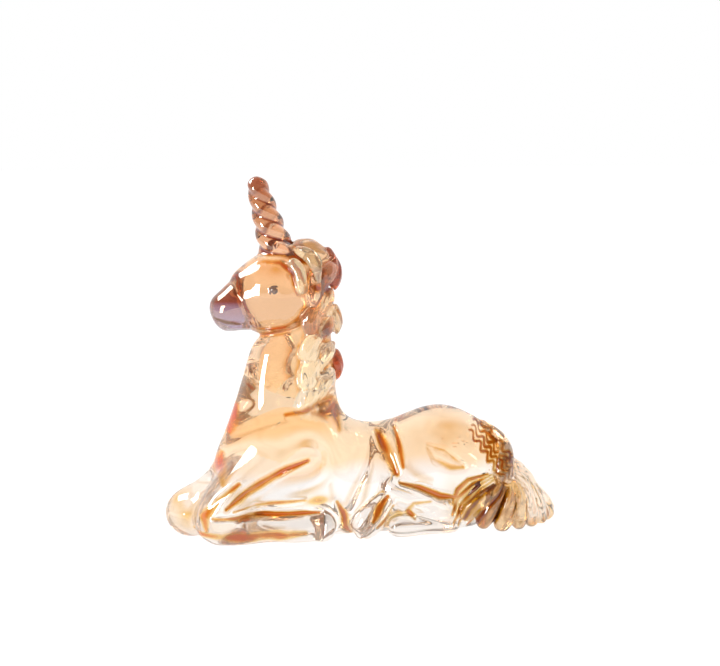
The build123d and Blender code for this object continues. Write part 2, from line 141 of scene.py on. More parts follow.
@dataclass(frozen=True)
class Lustre:
    """Clear pressed glass under a fired metal film: the film colours the surface, the core stays clear."""

    name: str
    slot: str
    shades: tuple[tuple[float, str], ...]
    # Colour of the thickest film, also used for painted shade in creases and for painted refraction and
    # reflection
    film_and_painted_light_colour: str
    drift_mm: float = 4.0
    density: float = 0.0
    film_and_painted_light_gain: float = 1.0
    roughness: float = 0.01
    film_nm: float = 75.0
    film_ior: float = 1.65
    ripple_mm: float = 0.02
    cloud_span_mm: float = 18.0
    streak_span_mm: float = 7.0
    ripple_span_mm: float = 7.0
    streak_swing: float = 2.2
    streak_base: float = -0.1
    veil: float = 0.75

    def material(self) -> bpy.types.Material:
        """The finish's material, built the first time that it is asked for."""
        return bpy.data.materials.get(self.name) or self.build()

    def build(self) -> bpy.types.Material:
        """Builds the material's nodes.

        Returns:
            The finished material.
        """
        material = bpy.data.materials.new(self.name)
        material.use_nodes = True
        tree = material.node_tree
        shader = tree.nodes["Principled BSDF"]
        spot = add_node(tree, "ShaderNodeTexCoord").outputs["Object"]
        split = add_node(tree, "ShaderNodeSeparateXYZ", None, {0: spot})
        clouds, streaks, ripples = [
            add_node(tree, "ShaderNodeTexNoise", {"noise_dimensions": "3D"},
                     {"Vector": spot, "Scale": 1 / (span * MM), "Detail": 1.0}).outputs["Fac"]
            for span in (self.cloud_span_mm, self.streak_span_mm, self.ripple_span_mm)]
        # Slow clouds of thicker and thinner film bend the line where it thins out
        drift = add_node(tree, "ShaderNodeMath", {"operation": "MULTIPLY_ADD"},
                         {0: clouds, 1: 2 * self.drift_mm * MM, 2: -self.drift_mm * MM})
        height = add_node(tree, "ShaderNodeMath", {"operation": "ADD"},
                          {0: split.outputs["Z"], 1: drift.outputs[0]})
        bottom, top = self.shades[0][0], self.shades[-1][0]
        share = add_node(tree, "ShaderNodeMapRange", None,
                         {"Value": height.outputs[0], "From Min": bottom * MM, "From Max": top * MM})
        shade = add_node(tree, "ShaderNodeValToRGB", None, {"Fac": share.outputs[0]})
        ramp = shade.color_ramp
        ramp.interpolation = "EASE"
        ramp.elements[0].color = linear(self.shades[0][1])
        ramp.elements[1].color = linear(self.shades[-1][1])
        for level, colour in self.shades[1:-1]:
            ramp.elements.new((level - bottom) / (top - bottom)).color = linear(colour)
        # The film runs together in creases, in streaks, and colours them deeper: partly real pooling, partly
        # painted shade in the creases; some folds and patches paint refraction and reflection into the same
        # thickness
        pool = add_node(tree, "ShaderNodeAttribute", {"attribute_name": "pool"})
        uneven = add_node(tree, "ShaderNodeMath", {"operation": "MULTIPLY_ADD"},
                          {0: streaks, 1: self.streak_swing * self.film_and_painted_light_gain,
                           2: self.streak_base * self.film_and_painted_light_gain})
        thick = add_node(tree, "ShaderNodeMath", {"operation": "MULTIPLY", "use_clamp": True},
                         {0: pool.outputs["Fac"], 1: uneven.outputs[0]})
        depth = add_node(tree, "ShaderNodeValToRGB", None, {"Fac": thick.outputs[0]})
        depth.color_ramp.elements[0].color = (1, 1, 1, 1)
        depth.color_ramp.elements[1].color = [c ** FULL_DEPTH for c in linear(self.film_and_painted_light_colour)]
        for level, power in FILM_DEPTHS:
            depth.color_ramp.elements.new(level).color = [c ** power for c in linear(self.film_and_painted_light_colour)]
        colour = add_node(tree, "ShaderNodeMix", {"data_type": "RGBA", "blend_type": "MULTIPLY"},
                          {"Factor": 1.0, 6: shade.outputs["Color"], 7: depth.outputs["Color"]})
        # Thick film lets less light through and shows its own colour
        clear = add_node(tree, "ShaderNodeMath", {"operation": "MULTIPLY_ADD", "use_clamp": True},
                         {0: thick.outputs[0], 1: -self.veil, 2: 1 - self.density})
        # A mould leaves slow ripples
        bump = add_node(tree, "ShaderNodeBump", None,
                        {"Height": ripples, "Distance": self.ripple_mm * MM, "Strength": 1.0})
        tree.links.new(colour.outputs[2], shader.inputs["Base Color"])
        tree.links.new(bump.outputs["Normal"], shader.inputs["Normal"])
        tree.links.new(clear.outputs[0], shader.inputs["Transmission Weight"])
        shader.inputs["IOR"].default_value = GLASS_IOR
        shader.inputs["Roughness"].default_value = self.roughness
        shader.inputs["Thin Film Thickness"].default_value = self.film_nm
        shader.inputs["Thin Film IOR"].default_value = self.film_ior
        return material


# Amber lustre on clear soda-lime glass: nearly clear by the floor, peach above
BODY = Lustre("amber_lustre_glass", "body_glass", ((19, "#FFFAF6"), (26, "#FCC98E"), (80, "#F4BE8C")),
              "#CC6A06")
# The same film worn thinner on the legs
LEG = Lustre("thin_amber_lustre_glass", "leg_glass", ((19, "#FDF5EE"), (26, "#FAD2A6")), "#CA6E0A")
# Peach film with copper where it pooled between the strands, partly painted shade in the grooves
MANE = Lustre("peach_lustre_glass", "mane_glass", ((40, "#FAE0B8"), (95, "#F4CC9E")), "#A84C0C", density=0.1)
# Pale cream film on the ears and the locks beside them
CREAM = Lustre("cream_lustre_glass", "mane_glass", ((80, "#FAE6C0"), (95, "#F8E0B4")), "#8A4214",
               density=0.25)
# Copper film along the crest
CREST = Lustre("copper_lustre_glass", "mane_glass", ((40, "#C4542C"), (95, "#C4603A")), "#7A1C06",
               density=0.3, film_ior=1.55)
# Golden film on the plume
TAIL = Lustre("golden_lustre_glass", "tail_glass", ((3, "#F2D0A0"), (16, "#E2A858"), (36, "#BC7824")),
              "#7E3A00", density=0.12, film_and_painted_light_gain=0.8)
# The same film worn off the root of the tail, left in its wavy lines
DOCK = Lustre("combed_golden_lustre_glass", "tail_glass", ((14, "#FCEBDA"), (36, "#F4CC96")), "#A85A08")
# The same film worn off the tips at the back of the plume
TAIL_TIP = Lustre("pale_golden_lustre_glass", "tail_glass", ((2, "#F0C078"), (6, "#FCEBDA"), (20, "#F8DCBE")),
                  "#A85A08", film_and_painted_light_gain=0.4)
# Rose copper film on the twisted cane, pooled darker in the grooves between its lobes: partly film, partly
# painted shade
HORN = Lustre("rose_copper_lustre_glass", "horn_glass", ((92, "#F0B488"), (104, "#D08A5C"), (114, "#A45638")),
              "#8A3412", film_nm=85.0, film_ior=1.75, film_and_painted_light_gain=2.5)
# Dark copper film over the nose and worn off the bridge; the violet beneath is a painted reflection, the
# film's iridescent sheen put into its colour
MUZZLE = Lustre("dark_copper_lustre_glass", "muzzle_glass",
                ((68, "#B4AACC"), (73, "#B08C9C"), (75.5, "#8A2A12"), (79.5, "#9A4426"), (82, "#F6DEC8")),
                "#5A1608", drift_mm=1.5, film_nm=100.0, film_ior=1.8, density=0.15)
# Smoky glass bead, dark enough to show as a small grey eye
EYE = Lustre("smoky_bead_glass", "eye_glass", ((70, "#6A5046"), (86, "#6A5046")), "#3A2A26", density=0.6)


def fused_seam() -> bpy.types.Material:
    """Where two gathers fused the glass is one body, so a seam neither bends nor tints the light.

    Returns:
        The material of the hidden faces between pieces.
    """
    material = bpy.data.materials.new("fused_glass_seam")
    material.use_nodes = True
    tree = material.node_tree
    tree.nodes.remove(tree.nodes["Principled BSDF"])
    clear = add_node(tree, "ShaderNodeBsdfTransparent")
    tree.links.new(clear.outputs[0], tree.nodes["Material Output"].inputs["Surface"])
    return material


def smooth_step(values: np.ndarray, start: float, stop: float) -> np.ndarray:
    """Rises softly from 0 at start to 1 at stop."""
    share = np.clip((values - start) / (stop - start), 0, 1)
    return share * share * (3 - 2 * share)


@dataclass
class Field:
    """Distances on a grid, in millimetres, negative inside the glass."""

    low: np.ndarray
    values: np.ndarray

    def window(self, other: "Field") -> tuple[tuple[slice, ...], tuple[slice, ...]]:
        """Finds where another field overlaps this one.

        Args:
            other: A field on the same grid.

        Returns:
            Slices into this field and into the other.
        """
        start = np.maximum(self.low, other.low)
        stop = np.minimum(self.low + self.values.shape, other.low + other.values.shape)
        mine = tuple(slice(a, b) for a, b in zip(start - self.low, stop - self.low))
        theirs = tuple(slice(a, b) for a, b in zip(start - other.low, stop - other.low))
        return mine, theirs

    def cut(self, low_mm: np.ndarray, high_mm: np.ndarray) -> "Field":
        """Views the part of the field in a box.

        Args:
            low_mm: Lower corner of the box.
            high_mm: Upper corner.

        Returns:
            A field that shares its values with this one.
        """
        start = np.clip(np.floor(low_mm / VOXEL).astype(int) - self.low, 0, self.values.shape)
        stop = np.clip(np.ceil(high_mm / VOXEL).astype(int) + 1 - self.low, 0, self.values.shape)
        return Field(self.low + start, self.values[tuple(slice(a, b) for a, b in zip(start, stop))])

    def axes(self) -> list[np.ndarray]:
        """Places of the grid points along X, Y and Z, shaped to spread over the grid."""
        lines = [(self.low[a] + np.arange(self.values.shape[a])) * VOXEL for a in range(3)]
        return list(np.ix_(*lines))

    def sample(self, points: np.ndarray) -> np.ndarray:
        """Reads the field between its grid points.

        Args:
            points: Places in millimetres, one to a row.

        Returns:
            The distance at each place.
        """
        place = np.clip(points / VOXEL - self.low, 0, np.array(self.values.shape) - 1.001)
        base = place.astype(int)
        part = place - base
        total = np.zeros(len(points))
        for corner in np.ndindex(2, 2, 2):
            weight = np.ones(len(points))
            for axis in range(3):
                weight *= part[:, axis] if corner[axis] else 1 - part[:, axis]
            total += weight * self.values[tuple((base + corner).T)]
        return total

    def slope(self, points: np.ndarray) -> np.ndarray:
        """Finds the direction in which the distance grows.

        Args:
            points: Places in millimetres, one to a row.

        Returns:
            The gradient at each place.
        """
        step = VOXEL * 0.9
        rows = [(self.sample(points + shift) - self.sample(points - shift)) / (2 * step)
                for shift in np.eye(3) * step]
        return np.stack(rows, axis=1)

    def bend(self, points: np.ndarray, reach: float) -> np.ndarray:
        """How hollow the surface is at each of some places: above 0 in a crease, below 0 on a ridge.

        Args:
            points: Places on the surface, in millimetres.
            reach: How far round each place is looked, in millimetres.

        Returns:
            The hollowness, in one over a millimetre.
        """
        total = -6 * self.sample(points)
        for shift in np.eye(3) * reach:
            total += self.sample(points + shift) + self.sample(points - shift)
        return -total / reach ** 2


def soften(values: np.ndarray, sigma: float) -> np.ndarray:
    """Smooths a grid by a bell curve.

    Args:
        values: The grid.
        sigma: Width of the bell in millimetres.

    Returns:
        The smoothed grid.
    """
    steps = sigma / VOXEL
    reach = max(1, math.ceil(2.5 * steps))
    bell = np.exp(-0.5 * (np.arange(-reach, reach + 1) / steps) ** 2)
    bell /= bell.sum()
    for axis in range(3):
        padded = np.pad(values, [(reach, reach) if a == axis else (0, 0) for a in range(3)], mode="edge")
        size = values.shape[axis]
        cuts = [tuple(slice(i, i + size) if a == axis else slice(None) for a in range(3))
                for i in range(len(bell))]
        values = sum(np.float32(w) * padded[cut] for w, cut in zip(bell, cuts))
    return values


def points_of(mesh: bpy.types.Mesh) -> np.ndarray:
    """Reads the places of a mesh's vertices.

    Args:
        mesh: A mesh in metres.

    Returns:
        The places in millimetres, one to a row.
    """
    points = np.empty(len(mesh.vertices) * 3, np.float32)
    mesh.vertices.foreach_get("co", points)
    return points.reshape(-1, 3) / MM


def distance_field(mesh: bpy.types.Mesh) -> Field:
    """Measures the distance to a closed mesh on the grid round it.

    Args:
        mesh: The mesh, in metres.

    Returns:
        The distances in a box a little larger than the mesh.
    """
    points = points_of(mesh)
    mesh.calc_loop_triangles()
    corners = np.empty(len(mesh.loop_triangles) * 3, np.int32)
    mesh.loop_triangles.foreach_get("vertices", corners)
    grid = openvdb.FloatGrid.createLevelSetFromPolygons(
        points, triangles=corners.reshape(-1, 3),
        transform=openvdb.createLinearTransform(voxelSize=VOXEL), halfWidth=BAND / VOXEL)
    edge = math.ceil((BAND + 1) / VOXEL)
    low = np.floor(points.min(0) / VOXEL).astype(int) - edge
    high = np.ceil(points.max(0) / VOXEL).astype(int) + edge
    values = np.zeros(high - low + 1, np.float32)
    grid.copyToArray(values, ijk=tuple(int(i) for i in low))
    return Field(low, values)


def fuse(a: np.ndarray, b: np.ndarray, flow: float) -> np.ndarray:
    """Joins two bodies of glass, filling the corner between them.

    Args:
        a: Distance to one body.
        b: Distance to the other.
        flow: How far the glass flows into the corner, in millimetres.

    Returns:
        Distance to the joined body.
    """
    near = np.maximum(flow - np.abs(a - b), 0) / flow
    return np.minimum(a, b) - near * near * (flow / 4)


@dataclass(frozen=True)
class Fold:
    """A line pressed into both flanks of the glass, seen from the side: points are along X and up Z."""

    line: tuple[tuple[float, float], ...]
    width: float
    depth: float
    film: float = 1.0
    inner: float = 4.0
    right: float = 0.2
    edge: float = 3.0
    ends: float = 0.5
    belly: float = 0.65
    lag: float = 1.4

    def mark(self, x: np.ndarray, y: np.ndarray, z: np.ndarray) -> np.ndarray:
        """How strongly the line is pressed, from 0 to 1.

        Args:
            x: Places along X, in millimetres.
            y: Places across the figure.
            z: Heights.

        Returns:
            The strength at each place.
        """
        line = np.array(self.line)
        nearest = np.full(np.broadcast(x, z).shape, 1e9)
        passed = np.zeros(nearest.shape)
        for number, (start, stop) in enumerate(zip(line[:-1], line[1:])):
            run = stop - start
            share = np.clip(((x - start[0]) * run[0] + (z - start[1]) * run[1]) / (run @ run), 0, 1)
            away = np.hypot(x - start[0] - share * run[0], z - start[1] - share * run[1])
            passed = np.where(away < nearest, (number + share) / (len(line) - 1), passed)
            nearest = np.minimum(nearest, away)
        # Narrow at both ends and widest a little past the middle
        width = self.width * (self.ends + self.belly * np.sin(math.pi * passed ** self.lag))
        flank = smooth_step(np.abs(y), self.inner, self.inner + self.edge) * np.where(y > 0, self.right, 1.0)
        return np.exp(-(nearest / width) ** 2) * flank

    def press(self, dents: Field) -> None:
        """Presses the line as deep as it goes where no other line is deeper.

        Args:
            dents: How deep the glass is pressed, changed in place.
        """
        line = np.array(self.line)
        reach = 3 * self.width
        left, bottom = line.min(0) - reach
        right, top = line.max(0) + reach
        part = dents.cut(np.array([left, -WIDE, bottom]), np.array([right, WIDE, top]))
        dent = self.depth * self.mark(*part.axes())
        np.maximum(part.values, dent.astype(np.float32), out=part.values)

    def over(self, points: np.ndarray) -> np.ndarray:
        """How thick the film is painted along the line at each of some places; on some lines it is painted
        refraction and reflection.
        """
        return self.film * self.mark(*points.T)


@dataclass(frozen=True)
class Patch:
    """A place where the film is painted thick, more so on the left flank than on the right; some stand in for
    refraction and reflection, painted as film.
    """

    place: tuple[float, float, float]
    reach: tuple[float, float, float]
    strength: float
    right: float = 0.4

    def over(self, points: np.ndarray) -> np.ndarray:
        """Finds how thick the patch lies.

        Args:
            points: Places in millimetres, one to a row.

        Returns:
            The thickness at each place, from 0 to 1.
        """
        either = points * np.array([1.0, -1.0, 1.0])
        left, right = [np.exp(-(((p - self.place) / self.reach) ** 2).sum(1)) for p in (points, either)]
        return self.strength * np.maximum(left, self.right * right)


@dataclass
class Skin:
    """The skin of all the glass: shared points, and squares that each have a piece on either side."""

    points: np.ndarray
    squares: np.ndarray
    inside: np.ndarray
    outside: np.ndarray
    normals: np.ndarray | None = None
    # How thick the film is painted at each point: real pooling, plus painted shade in creases and painted
    # refraction and reflection
    pool: np.ndarray | None = None

    def neighbours_mean(self, squares: np.ndarray) -> tuple[np.ndarray, np.ndarray]:
        """Mean place of each point's neighbours along the edges of some squares.

        Args:
            squares: Rows of four point numbers.

        Returns:
            The means, and which points have any.
        """
        ends = np.concatenate([squares[:, [i, (i + 1) % 4]] for i in range(4)])
        ends = np.concatenate([ends, ends[:, ::-1]])
        count = np.bincount(ends[:, 0], minlength=len(self.points))
        sums = [np.bincount(ends[:, 0], self.points[ends[:, 1], a], len(self.points)) for a in range(3)]
        return np.stack(sums, 1) / np.maximum(count, 1)[:, None], count > 0

    def settle(self, glass: Field, chosen: np.ndarray) -> None:
        """Moves chosen points on to the surface of the glass.

        Args:
            glass: Distance to the glass.
            chosen: Which points move.
        """
        places = self.points[chosen]
        slope = glass.slope(places)
        length = np.maximum((slope ** 2).sum(1), 0.05)
        step = np.clip(glass.sample(places) / length, -VOXEL, VOXEL)
        self.points[chosen] = places - slope * step[:, None]


def draw_skin(labels: np.ndarray, glass: Field) -> Skin:
    """Draws the skin between every two unlike labels, by surface nets.

    Args:
        labels: Number of the piece at each grid point, 0 in the air.
        glass: Distance to the joined glass on the same grid.

    Returns:
        The skin, with its points smoothed on to the glass.
    """
    shape = np.array(labels.shape) - 1
    corners = [tuple(slice(c, c + n) for c, n in zip(corner, shape)) for corner in np.ndindex(2, 2, 2)]
    first = labels[corners[0]]
    mixed = np.zeros(tuple(shape), bool)
    airy = first == 0
    for cut in corners[1:]:
        mixed |= labels[cut] != first
        airy |= labels[cut] == 0
    cells = np.argwhere(mixed)
    numbers = np.full(tuple(shape), -1, np.int64)
    numbers[mixed] = np.arange(len(cells))
    points = (cells + 0.5 + glass.low) * VOXEL
    on_air = airy[mixed]

    squares, inside, outside = [], [], []
    for axis in Axis:
        a = axis.value
        u, v = (a + 1) % 3, (a + 2) % 3
        side = [slice(1, n) for n in shape]
        side[a] = slice(0, shape[a])
        here = labels[tuple(side)]
        side[a] = slice(1, shape[a] + 1)
        there = labels[tuple(side)]
        edges = np.argwhere(here != there)
        place = edges + 1 - np.eye(3, dtype=int)[a]
        ring = []
        for du, dv in ((-1, -1), (0, -1), (0, 0), (-1, 0)):
            cell = place.copy()
            cell[:, u] += du
            cell[:, v] += dv
            ring.append(numbers[tuple(cell.T)])
        squares.append(np.stack(ring, 1))
        inside.append(here[tuple(edges.T)])
        outside.append(there[tuple(edges.T)])
    skin = Skin(points, np.concatenate(squares), np.concatenate(inside), np.concatenate(outside))

    faces_air = (skin.inside == 0) | (skin.outside == 0)
    for _ in range(AIR_ROUNDS):
        mean, has = skin.neighbours_mean(skin.squares[faces_air])
        moved = on_air & has
        skin.points[moved] += 0.5 * (mean[moved] - skin.points[moved])
        skin.settle(glass, on_air)
    for _ in range(SEAM_ROUNDS):
        mean, has = skin.neighbours_mean(skin.squares[~faces_air])
        moved = ~on_air & has
        skin.points[moved] += 0.5 * (mean[moved] - skin.points[moved])
    skin.settle(glass, on_air)
    slope = glass.slope(skin.points)
    skin.normals = slope / np.maximum(np.linalg.norm(slope, axis=1), 1e-6)[:, None]
    return skin


@dataclass
class SubAssembly:
    """A group of pieces that share a finish and flow into the rest alike."""

    title: str
    finish: Lustre
    flow: Fuse
    nodes: list[str]
    softness: float = 0.9
    melt: float = 0.0

    def field_of(self, node: str) -> Field:
        """Measures the distance to one of the pieces, rounded as fire-polished glass is.

        Args:
            node: Name of the piece's CAD node.

        Returns:
            The distances.
        """
        measured = distance_field(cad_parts[node].data)
        measured.values = soften(measured.values, self.softness)
        return measured


@dataclass
class Hair(SubAssembly):
    """Locks whose strands are combed along their length."""

    softness: float = 0.5
    strands: int = 7
    groove: float = 0.45
    twist: float = 0.12
    wave: float = 0.0
    wave_length: float = 4.5
    slices: int = 9
    fewest: int = 6
    fade_in: float = 3.0
    fade_out: float = 2.0
    sharpness: float = 0.7

    def field_of(self, node: str) -> Field:
        """Distance to a lock, with the grooves between its strands.

        Args:
            node: Name of the lock's CAD node.

        Returns:
            The distances.
        """
        measured = super().field_of(node)
        points = points_of(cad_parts[node].data)
        middle = (points.min(0) + points.max(0)) / 2
        along, across, out = np.linalg.svd(points - middle, full_matrices=False)[2]
        run, left, up = [(points - middle) @ way for way in (along, across, out)]
        edges = np.linspace(run.min(), run.max(), self.slices + 1)
        stops, centres = [], []
        for start, stop in zip(edges[:-1], edges[1:]):
            ring = (run >= start) & (run <= stop)
            if ring.sum() > self.fewest:
                stops.append((start + stop) / 2)
                centres.append([(side[ring].min() + side[ring].max()) / 2 for side in (left, up)])
        centres = np.array(centres)
        x, y, z = measured.axes()
        grid = [way[0] * (x - middle[0]) + way[1] * (y - middle[1]) + way[2] * (z - middle[2])
                for way in (along, across, out)]
        turn = np.arctan2(grid[2] - np.interp(grid[0], stops, centres[:, 1]),
                          grid[1] - np.interp(grid[0], stops, centres[:, 0]))
        phase = self.strands * turn + self.twist * grid[0] * self.strands
        phase += self.wave * np.sin(2 * math.pi * grid[0] / self.wave_length)
        fade = smooth_step(grid[0], run.min(), run.min() + self.fade_in)
        fade = fade * smooth_step(-grid[0], -run.max(), self.fade_out - run.max())
        comb = self.groove * (1 - np.abs(np.sin(phase / 2)) ** self.sharpness) * fade
        measured.values += comb.astype(np.float32)
        return measured


@dataclass
class Horn(SubAssembly):
    """The horn, a cane of lobes twisted while hot, swept by geometry nodes. Sizes in millimetres."""

    softness: float = 0.25
    crown: tuple[float, float, float] = (-26.96, 0.0, 91.15)
    lean: float = 16.5
    length: float = 24.5
    root: float = 6.0
    base_radius: float = 6.6
    tip_radius: float = 3.2
    lobes: int = 3
    turns: float = 1.7
    groove: float = 0.68
    lobe_power: float = 0.75
    tip_reach: float = 0.98
    around: int = 120
    along: int = 180

    def tree(self) -> bpy.types.GeometryNodeTree:
        """Builds the tree that sweeps a lobed section up the horn, turning and narrowing it.

        Returns:
            The node tree, with the sizes as named inputs.
        """
        tree = bpy.data.node_groups.new("twisted_cane", "GeometryNodeTree")
        for name, kind in (("Length", "Float"), ("Base Radius", "Float"), ("Tip Radius", "Float"),
                           ("Lobes", "Int"), ("Turns", "Float"), ("Groove", "Float"), ("Glass", "Material")):
            tree.interface.new_socket(name, in_out="INPUT", socket_type=f"NodeSocket{kind}")
        tree.interface.new_socket("Geometry", in_out="OUTPUT", socket_type="NodeSocketGeometry")
        given = add_node(tree, "NodeGroupInput").outputs
        share = add_node(tree, "GeometryNodeSplineParameter").outputs["Factor"]
        # Each row is a sum's name, what it does and its terms, where a word is an earlier sum
        rows = (
            # Section: its radius dips to a groove between each two lobes
            ("lobe", "MULTIPLY", share, given["Lobes"]), ("angle", "MULTIPLY", "lobe", math.pi),
            ("sine", "SINE", "angle"), ("wave", "ABSOLUTE", "sine"),
            ("bulge", "POWER", "wave", self.lobe_power), ("rise", "SUBTRACT", 1.0, given["Groove"]),
            ("swell", "MULTIPLY", "bulge", "rise"), ("radius", "ADD", given["Groove"], "swell"),
            # Spine: it turns the section, narrows it and closes it in a round tip
            ("turned", "MULTIPLY", share, given["Turns"]), ("tilt", "MULTIPLY", "turned", -2 * math.pi),
            ("difference", "SUBTRACT", given["Tip Radius"], given["Base Radius"]),
            ("narrowing", "MULTIPLY", share, "difference"),
            ("taper", "ADD", given["Base Radius"], "narrowing"),
            ("left", "SUBTRACT", 1.0, share), ("to_go", "MULTIPLY", "left", given["Length"]),
            ("from_tip", "DIVIDE", "to_go", given["Tip Radius"]),
            ("closing", "SUBTRACT", self.tip_reach, "from_tip"), ("in_dome", "MAXIMUM", "closing", 0.0),
            ("squared", "POWER", "in_dome", 2.0), ("rest", "SUBTRACT", 1.0, "squared"),
            ("dome", "SQRT", "rest"), ("scale", "MULTIPLY", "taper", "dome"),
        )
        sums = {}
        for name, operation, *terms in rows:
            inputs = {i: sums[term] if isinstance(term, str) else term for i, term in enumerate(terms)}
            sums[name] = add_node(tree, "ShaderNodeMath", {"operation": operation}, inputs).outputs[0]
        circle = add_node(tree, "GeometryNodeCurvePrimitiveCircle", None,
                          {"Resolution": self.around, "Radius": 1.0})
        spot = add_node(tree, "GeometryNodeInputPosition")
        lobed = add_node(tree, "ShaderNodeVectorMath", {"operation": "SCALE"},
                         {0: spot.outputs[0], "Scale": sums["radius"]})
        section = add_node(tree, "GeometryNodeSetPosition", None,
                           {"Geometry": circle.outputs["Curve"], "Position": lobed.outputs[0]})
        end = add_node(tree, "ShaderNodeCombineXYZ", None, {"Z": given["Length"]})
        line = add_node(tree, "GeometryNodeCurvePrimitiveLine", None, {"End": end.outputs[0]})
        fine = add_node(tree, "GeometryNodeResampleCurve", None,
                        {"Curve": line.outputs[0], "Count": self.along})
        tilted = add_node(tree, "GeometryNodeSetCurveTilt", None,
                          {"Curve": fine.outputs[0], "Tilt": sums["tilt"]})
        swept = add_node(tree, "GeometryNodeCurveToMesh", None,
                         {"Curve": tilted.outputs[0], "Profile Curve": section.outputs[0],
                          "Scale": sums["scale"], "Fill Caps": True})
        real = add_node(tree, "GeometryNodeRealizeInstances", None, {"Geometry": swept.outputs[0]})
        dressed = add_node(tree, "GeometryNodeSetMaterial", None,
                           {"Geometry": real.outputs[0], "Material": given["Glass"]})
        add_node(tree, "NodeGroupOutput", None, {"Geometry": dressed.outputs[0]})
        return tree

    def cane(self) -> bpy.types.Mesh:
        """Sweeps the cane and stands it on the crown.

        Returns:
            The cane's mesh, in metres.
        """
        blank = bpy.data.meshes.new("blank_cane")
        holder = bpy.data.objects.new("cane", blank)
        bpy.context.scene.collection.objects.link(holder)
        modifier = holder.modifiers.new("cane", "NODES")
        tree = self.tree()
        given = {"Length": (self.length + self.root) * MM, "Base Radius": self.base_radius * MM,
                 "Tip Radius": self.tip_radius * MM, "Lobes": self.lobes, "Turns": self.turns,
                 "Groove": self.groove, "Glass": self.finish.material()}
        modifier.node_group = tree
        for item in tree.interface.items_tree:
            if item.in_out == "INPUT":
                modifier[item.identifier] = given[item.name]
        baked = holder.evaluated_get(bpy.context.evaluated_depsgraph_get())
        mesh = bpy.data.meshes.new_from_object(baked)
        bpy.data.objects.remove(holder)
        bpy.data.meshes.remove(blank)
        lean = Matrix.Rotation(math.radians(-self.lean), 4, "Y")
        sunk = Matrix.Translation((0, 0, -self.root * MM))
        mesh.transform(Matrix.Translation(Vector(self.crown) * MM) @ lean @ sunk)
        return mesh

    def field_of(self, node: str) -> Field:
        """Measures the distance to the cane.

        Args:
            node: Name of the CAD node that the cane stands for; not used.

        Returns:
            The distances.
        """
        cane = self.cane()
        measured = distance_field(cane)
        measured.values = soften(measured.values, self.softness)
        bpy.data.meshes.remove(cane)
        return measured


def both(*names: str) -> list[str]:
    """Left and right node of each name."""
    return [f"{side}_{name}" for name in names for side in ("left", "right")]


def numbered(name: str) -> list[str]:
    """Nodes of one name in the order of their numbers."""
    found = [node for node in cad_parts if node.startswith(name + "_")]
    return sorted(found, key=lambda node: int(node.rsplit("_", 1)[1]))


